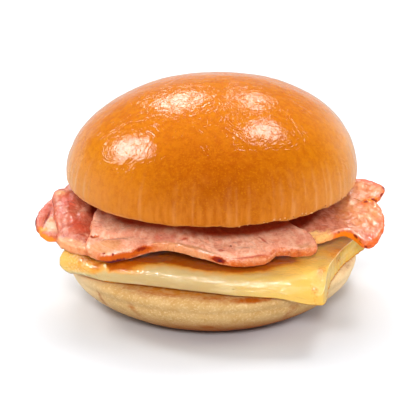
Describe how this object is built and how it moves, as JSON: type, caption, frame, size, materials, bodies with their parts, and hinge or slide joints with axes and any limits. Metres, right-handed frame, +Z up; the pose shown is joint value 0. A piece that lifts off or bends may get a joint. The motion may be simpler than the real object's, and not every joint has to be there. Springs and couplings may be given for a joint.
{
  "type": "breakfast sandwich",
  "caption": "Glazed round bun filled with a folded egg and wavy slices of back bacon that stick out all round.",
  "frame": {"origin": "centre of the flat spot under the bun's heel, on which the sandwich rests", "axes": "+Z up, -Y the front that the picture shows, +X to the right along the longest extent"},
  "size_m": [0.1277, 0.1066, 0.083],
  "materials": {
    "bun_glazed": "egg-glazed golden brown crust, glossy",
    "bun_base": "pale matte crust",
    "egg": "moist pale yellow folded egg",
    "bacon": "moist pink meat with an orange browned rim of fat"
  },
  "bodies": {
    "root": {"heel": "bun_base", "egg": "egg", "bacon_left_end": "bacon", "bacon_right": "bacon", "bacon_left": "bacon", "bacon_front": "bacon", "crown": "bun_glazed"}
  },
  "joints": []
}
